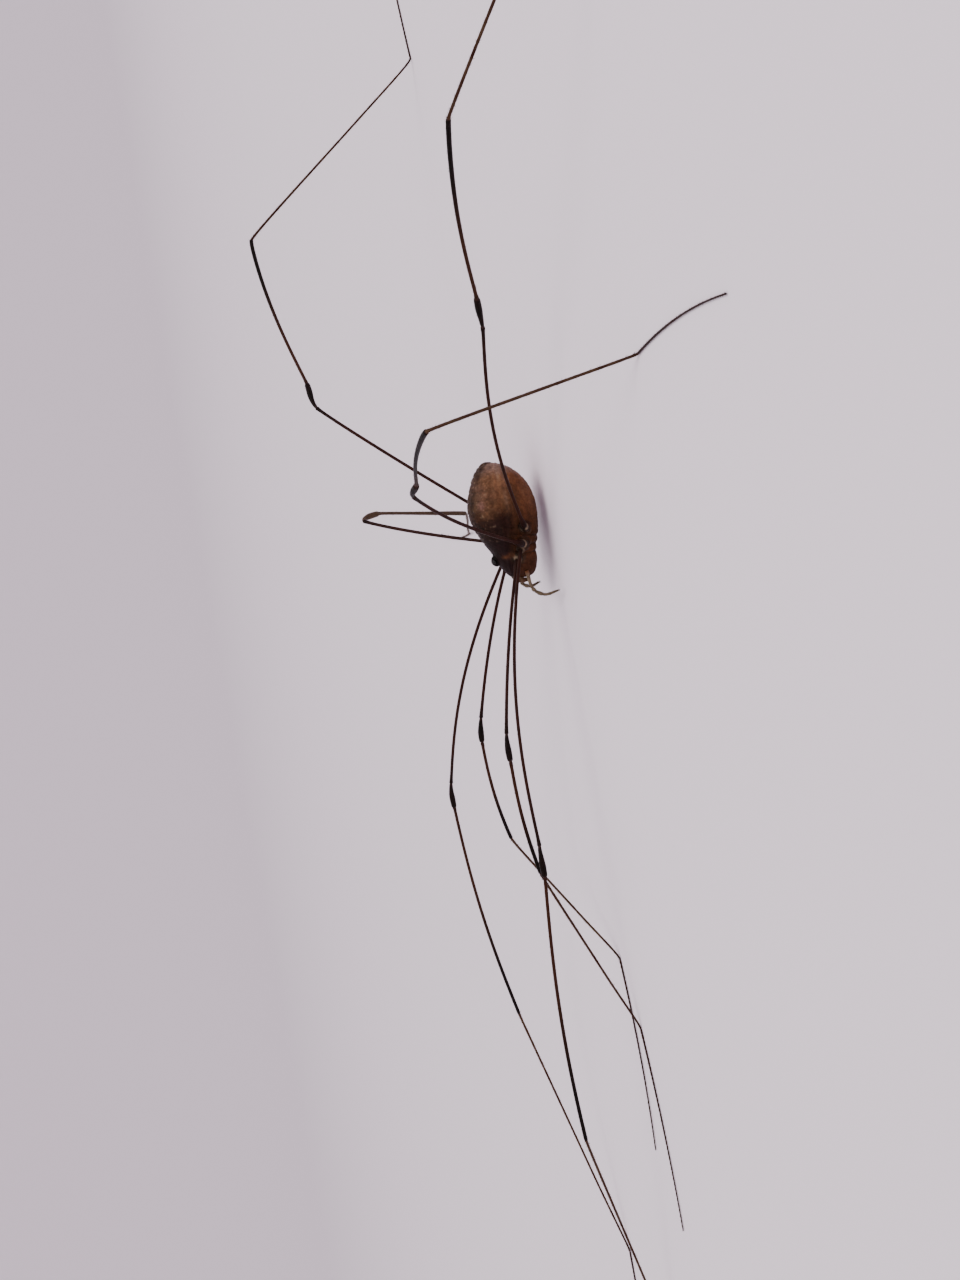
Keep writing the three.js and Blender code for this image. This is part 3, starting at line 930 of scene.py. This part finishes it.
def palp_course(side):
    """Line, radius and colour of a pedipalp: stout pale femur, knee, tibia and a long thin tarsus."""
    t = np.linspace(0, 1, 150)
    line = catmull_rom(PEDIPALPS[side], t)
    line = line - np.array([0, 0, 0.04]) * ramp(0.6, 1, t)[:, None]
    radius = 0.13 - 0.035 * ramp(0.05, 0.3, t) - 0.03 * ramp(0.5, 1, t)
    radius = radius + 0.035 * hump(0.36, 0.05, t) + 0.025 * hump(0.55, 0.07, t) + 0.012 * hump(0.8, 0.1, t)
    for joint in PALP_JOINTS:
        radius = radius * (1 - 0.26 * hump(joint, 0.012, t))
    radius = radius * (1 - 0.6 * ramp(0.94, 1, t))
    colour = mix(CREAM * 0.42, PALP_OLIVE, ramp(0.1, 0.4, t))
    colour = mix(colour, ORANGE_BROWN, ramp(0.1, 0, t))
    colour = mix(colour, LEG_BROWN, 0.35 * ramp(0.6, 0.95, t))
    for joint in PALP_JOINTS:
        colour = mix(colour, DARK_BROWN, 0.35 * hump(joint + 0.02, 0.018, t))
    return line, radius, colour


def add_palp(side, material):
    line, radius, colour = palp_course(side)
    parts = sweep(line, radius, radius, PALP_SIDES)
    paint = for_points(colour, PALP_SIDES) * (1 + 0.2 * clouds(parts[0], 0.2, 31))[:, None]
    return add_piece(f"pedipalp_{side}", parts, paint, material, [f"pedipalp_{side}"])


# Where a jaw's stout part ends and its two fingers start, and the rings and sides of its tubes
HAND_END, FINGER_START = 0.8, 0.72
CHELICERA_RINGS, HAIRY_RINGS = 120, 90
HAND_SIDES, FINGER_SIDES = 20, 12
# Shift and curl of the two fingers, their spread, and their radius at the base and the tip
FINGERS = ((-0.055, 0.03), (0.06, -0.035))
FINGER_SPREAD = 1.2
FINGER_RADIUS, FINGER_TIP = 0.075, 0.008


def chelicera_course(sign):
    """Places, line and radius of a jaw, pinched at its joint and thinner at the fingers."""
    t = np.linspace(0, 1, CHELICERA_RINGS)
    line = mirrored(catmull_rom(CHELICERA, t), sign)
    radius = 0.14 + 0.045 * ramp(0, 0.3, t) + 0.02 * hump(0.55, 0.15, t)
    radius = radius - 0.09 * ramp(0.66, 0.86, t)
    radius = radius * (1 - 0.3 * hump(0.4, 0.02, t))
    return t, line, radius


def add_chelicera(side, sign, material):
    """Two stout segments, the second ending in two fingers with dark tips."""
    t, line, radius = chelicera_course(sign)
    body = t < HAND_END
    parts = [sweep(line[body], radius[body], radius[body] * 1.05, HAND_SIDES)]
    places = [for_points(t[body], HAND_SIDES)]
    finger = t > FINGER_START
    run = (t[finger] - FINGER_START) / (1 - FINGER_START)
    for shift, curl in FINGERS:
        path = line[finger].copy()
        path[:, 0] += (shift + curl * run**2) * FINGER_SPREAD
        girth = FINGER_RADIUS * (1 - run) ** 0.6 + FINGER_TIP
        parts.append(sweep(path, girth, girth, FINGER_SIDES))
        places.append(for_points(HAND_END + (1 - HAND_END) * run, FINGER_SIDES))
    place = np.concatenate(places)
    merged = joined(parts)
    colour = coats(
        PALP_OLIVE,
        (DARK_BROWN, share(0.6 + 0.7 * clouds(merged[0], 0.25, 33))),
        (ORANGE_BROWN, 0.4 * ramp(0.45, 0.7, place)),
        (NEAR_BLACK, 0.9 * ramp(0.88, 0.95, place)),
    )
    return add_piece(f"chelicera_{side}", merged, colour, material, [f"chelicera_{side}"])


# The way an eye looks, and the place of the faint step round its cornea
GAZE = (0.12, 0.86, 0.42)
CORNEA_EDGE = 0.56
EYE_RINGS, EYE_SIDES = 34, 36


def add_eye(side, sign, material):
    """A round lens that looks out and up, with a faint step round the clear cornea."""
    centre, axis = mirrored(EYE_CENTRE, sign), unit(mirrored(GAZE, sign))
    t = np.linspace(0.03, 0.985, EYE_RINGS)
    girth = np.sin(math.pi * t) * EYE_RADIUS * (1 - 0.05 * hump(CORNEA_EDGE, 0.03, t))
    line = centre - axis * np.cos(math.pi * t)[:, None] * EYE_RADIUS
    parts = sweep(line, girth, girth, EYE_SIDES)
    rim = hump(CORNEA_EDGE, 0.06, for_points(t, EYE_SIDES))
    colour = mix(NEAR_BLACK * 0.35, DARK_BROWN, 0.5 * rim)
    return add_piece(f"eye_{side}", parts, colour, material, [f"eye_{side}"])


# Length and radius of the claws of the feet and of the feelers, and of their points
FOOT_CLAW, PALP_CLAW = (0.1, 0.016), (0.09, 0.018)
POINT_RADIUS = 0.002
FOOT_CLAW_RISE = np.array([0, 0, 0.012])
CLAW_RINGS, CLAW_SIDES, CLAW_SINK = 12, 8, 0.02


def claw(tip, way, length, radius):
    t = np.linspace(0, 1, CLAW_RINGS)
    line = tip + way * (t * length - CLAW_SINK)[:, None]
    line[:, 2] += 0.03 * np.sin(math.pi * t * 0.9) - 0.02 * t
    girth = radius * (1 - t) ** 0.7 + POINT_RADIUS
    return sweep(line, girth, girth, CLAW_SIDES)


def add_dark_piece(name, parts, shade, grain, seed, material):
    merged = joined(parts)
    colour = NEAR_BLACK * (shade + 0.4 * noise(merged[0], grain, seed))[:, None]
    return add_piece(name, merged, colour, material)


def add_claws(material):
    parts = []
    for name in LEGS:
        line = piece_line(name, TARSUS, np.array([0.98, 1]))
        parts.append(claw(line[-1] + FOOT_CLAW_RISE, unit(line[-1] - line[0]), *FOOT_CLAW))
    for side in PEDIPALPS:
        line, _, _ = palp_course(side)
        parts.append(claw(line[-1], unit(line[-1] - line[-5]), *PALP_CLAW))
    return add_dark_piece("claws", parts, 1.2, 0.05, 41, material)


# Teeth of the eye mound: number on a side, place of the first, spacing, distance from the middle
MOUND_TEETH, FIRST_TOOTH, TOOTH_STEP, TOOTH_ROW = 6, -0.55, 0.22, 0.14
# Spacing of a femur's teeth, the lengths left bare at its ends, and how far a tooth leans
FEMUR_TOOTH_STEP, FEMUR_BARE, TOOTH_LEAN = 0.55, (0.5, 0.4), 0.6


def tooth(root, tip, radius, rings, sides):
    t = np.linspace(0, 1, rings)[:, None]
    girth = radius * (1 - t[:, 0]) + POINT_RADIUS
    return sweep(root * (1 - t) + tip * t, girth, girth, sides)


def mound_teeth():
    for side in (1, -1):
        for k in range(MOUND_TEETH):
            along, across = FIRST_TOOTH + TOOTH_STEP * k, side * TOOTH_ROW
            high = math.sqrt(max(0.05, 1 - (along * 0.9) ** 2 - (across / MOUND_RADII[1]) ** 2))
            root = MOUND_CENTRE + np.array([along * MOUND_RADII[0], across, high * MOUND_RADII[2]])
            yield tooth(root, root + unit(root - MOUND_CENTRE) * 0.05, 0.014, 5, 6)


def femur_teeth(name, random):
    pair = LEGS[name][0]
    length = PAIR_LENGTHS[pair][FEMUR]
    s = np.arange(FEMUR_BARE[0], length - FEMUR_BARE[1], FEMUR_TOOTH_STEP)
    line = piece_line(name, FEMUR, s / length)
    radius = piece_radius(pair, FEMUR, s, length)
    for place, way, across, up, reach in zip(line, *carried_frame(line), radius):
        out = unit(up + across * random.uniform(-TOOTH_LEAN, TOOTH_LEAN))
        root = place + out * reach * 0.93
        yield tooth(root, root + out * 0.03 + way * 0.025, 0.012, 4, 5)


def add_teeth(material, random):
    parts = [*mound_teeth(), *(part for name in LEGS for part in femur_teeth(name, random))]
    return add_dark_piece("teeth", parts, 1.1, 0.1, 43, material)


# Materials


def set_sockets(node, values):
    for socket, value in values.items():
        node.inputs[socket].default_value = value


def add_node(tree, kind, sockets=None, **settings):
    node = tree.nodes.new("ShaderNode" + kind)
    set_sockets(node, sockets or {})
    for key, value in settings.items():
        setattr(node, key, value)
    return node


def new_material(name):
    material = bpy.data.materials.new(name)
    material.use_nodes = True
    return material, material.node_tree, material.node_tree.nodes["Principled BSDF"]


# Size of the fine grain in metres, and the part of a noise that is spread over a range
GRAIN = 0.00006
NOISE_RANGE = {"From Min": 0.3, "From Max": 0.7}


def spread(tree, low, high):
    return add_node(tree, "MapRange", {**NOISE_RANGE, "To Min": low, "To Max": high})


def cuticle(name, rough=(0.35, 0.55), mottle=(0.75, 1.2), lump=0.00025, depth=6e-6, sheen=0.06, glow=0.0):
    """Cuticle painted by the markings, with finer mottling, uneven gloss and a fine grain from noise."""
    material, tree, shader = new_material(name)
    place = add_node(tree, "TexCoord")
    marking = add_node(tree, "Attribute", attribute_name="marking")
    patches = add_node(tree, "TexNoise", {"Scale": 1 / lump, "Detail": 4.0, "Roughness": 0.6})
    shade = spread(tree, *mottle)
    painted = add_node(tree, "VectorMath", operation="SCALE")
    gloss = spread(tree, *rough)
    fine = add_node(tree, "TexNoise", {"Scale": 1 / GRAIN, "Detail": 3.0})
    cells = add_node(tree, "TexVoronoi", {"Scale": 0.7 / GRAIN})
    height = add_node(tree, "Math", operation="ADD")
    bump = add_node(tree, "Bump", {"Strength": 0.7, "Distance": depth})
    for source, output, target, socket in (
        *((place, "Object", texture, "Vector") for texture in (patches, fine, cells)),
        (patches, "Fac", shade, "Value"),
        (fine, "Fac", gloss, "Value"),
        (marking, "Color", painted, 0),
        (shade, "Result", painted, "Scale"),
        (painted, "Vector", shader, "Base Color"),
        (gloss, "Result", shader, "Roughness"),
        (fine, "Fac", height, 0),
        (cells, "Distance", height, 1),
        (height, "Value", bump, "Height"),
        (bump, "Normal", shader, "Normal"),
    ):
        tree.links.new(source.outputs[output], target.inputs[socket])
    set_sockets(shader, {"Specular IOR Level": sheen, "Subsurface Weight": glow})
    set_sockets(shader, {"Subsurface Radius": (1.0, 0.5, 0.3), "Subsurface Scale": 0.0002})
    return material


def plain_floor():
    material, _, shader = new_material("pale_floor")
    set_sockets(shader, {"Base Color": FLOOR_COLOUR, "Roughness": 0.9, "Specular IOR Level": 0.1})
    return material


# Stage: a pale floor that curves up into a wall far away on every side, lamps and camera

FLOOR_COLOUR = (0.89, 0.79, 0.87, 1)
SKY_COLOUR, SKY_STRENGTH = (0.98, 0.96, 0.98, 1), 1.0
STAGE_MIDDLE = Vector((0, 0, 0))
# Place, size, power and colour of each lamp
LAMPS = {
    "key": ((-0.35, 0.3, 0.65), 0.5, 3.6, (1, 0.97, 0.95)),
    "fill": ((0.5, 0.5, 0.25), 0.6, 0.6, (0.95, 0.96, 1)),
}


def add_floor():
    flat, bend, wall, sides, steps = 1.1, 0.5, 0.9, 96, 12
    turn = math.pi / 2 * np.arange(1, steps + 1) / steps
    radius = np.concatenate([[flat / 2, flat], flat + bend * np.sin(turn), [flat + bend]])[:, None]
    height = np.concatenate([[0, 0], bend * (1 - np.cos(turn)), [wall]])[:, None]
    angle = 2 * math.pi * np.arange(sides) / sides
    rims = np.stack([radius * np.cos(angle), radius * np.sin(angle), height + 0 * angle], -1)
    quads, fans = tube_faces(len(radius), sides)
    mesh = build_mesh("floor", np.vstack([rims.reshape(-1, 3), np.zeros(3)]), quads, fans[:sides])
    mesh.materials.append(plain_floor())
    add_object("floor", mesh)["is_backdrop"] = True


def add_light(name, place, size, power, colour):
    light = bpy.data.lights.new(name, "AREA")
    light.shape, light.size = "DISK", size
    light.energy, light.color = power, colour
    lamp = add_object(name, light)
    lamp.location = place
    lamp.rotation_euler = (STAGE_MIDDLE - Vector(place)).to_track_quat("-Z", "Y").to_euler()


def add_sky():
    world = bpy.data.worlds.new("sky")
    bpy.context.scene.world = world
    world.use_nodes = True
    set_sockets(world.node_tree.nodes["Background"], {"Color": SKY_COLOUR, "Strength": SKY_STRENGTH})


def add_camera():
    """The photograph's camera: low at the animal's left, with the picture's upright along its body."""
    level = math.cos(CAMERA_RISE)
    view = np.array([math.sin(CAMERA_TURN) * level, -math.cos(CAMERA_TURN) * level, -math.sin(CAMERA_RISE)])
    level_up = unit(np.array([0, 0, 1.0]) - view[2] * view)
    level_side = np.cross(view, level_up)
    steep = math.hypot(1, PICTURE_SLOPE)
    cosine, sine = -1 / steep, PICTURE_SLOPE / steep
    right = cosine * level_up - sine * level_side
    down = sine * level_up + cosine * level_side
    distance = MM_PER_PIXEL * (LENS / SENSOR * IMAGE_HEIGHT)
    shift = (AIM_PIXEL - np.array([IMAGE_WIDTH, IMAGE_HEIGHT]) / 2) * MM_PER_PIXEL
    centre = AIM_POINT - view * distance - right * shift[0] - down * shift[1]
    data = bpy.data.cameras.new("camera")
    data.lens, data.sensor_width = LENS, SENSOR
    data.clip_start, data.clip_end = 0.005, 20
    camera = add_object("camera", data)
    turned = Matrix(np.stack([right, -down, -view], -1).tolist()).to_4x4()
    camera.matrix_world = Matrix.Translation(to_frame(centre).tolist()) @ turned
    bpy.context.scene.camera = camera


random = np.random.default_rng(SEED)
body_look = {"rough": (0.4, 0.68), "mottle": (0.68, 1.26), "lump": 0.00013, "depth": 1e-5, "glow": 0.05}
body_material = cuticle("body_cuticle", **body_look)
leg_material = cuticle("leg_cuticle", rough=(0.34, 0.52), mottle=(0.8, 1.15), lump=0.0004)
mouth_material = cuticle("mouth_cuticle", glow=0.1)
eye_material = cuticle("eye_lens", rough=(0.05, 0.12), mottle=(0.8, 1.1), depth=4e-7, sheen=0.22)
hair_material = cuticle("hair", rough=(0.4, 0.6), mottle=(0.85, 1.1))
claw_material = cuticle("claw", rough=(0.2, 0.35), sheen=0.2)

skin = body_skin()
flesh = ["abdomen", "prosoma", "ocularium"] + [f"leg_{name}_coxa" for name in LEGS]
add_piece("body_skin", skin, body_colour(skin[0]), body_material, flesh)
for name in LEGS:
    add_leg(name, leg_material)
for side, sign in (("left", 1), ("right", -1)):
    add_eye(side, sign, eye_material)
    add_chelicera(side, sign, mouth_material)
    add_palp(side, mouth_material)
add_claws(claw_material)
add_teeth(claw_material, random)
add_coat("leg_hairs", [leg_hairs(name, i, random) for i, name in enumerate(LEGS)], hair_material)
small = [body_hairs(skin[0], normals_of(*skin), random)]
for band, side in enumerate(PEDIPALPS):
    line, radius, colour = palp_course(side)
    small.append(tube_hairs(line, radius, LEG_OLIVE * 0.7, random, PALP_HAIRS, 0.1, band + 1))
    _, line, radius = chelicera_course(1 - 2 * band)
    line, radius = line[:HAIRY_RINGS], radius[:HAIRY_RINGS]
    small.append(tube_hairs(line, radius, LEG_OLIVE * 0.6, random, CHELICERA_HAIRS, 0.09, band + 4))
add_coat("body_hairs", small, hair_material)

add_floor()
for name, lamp in LAMPS.items():
    add_light(name, *lamp)
add_sky()
add_camera()

bpy.context.view_layer.update()
boxes = {"cad": cad_box, "visual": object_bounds()}
{key: [list(corner) for corner in box] for key, box in boxes.items()}
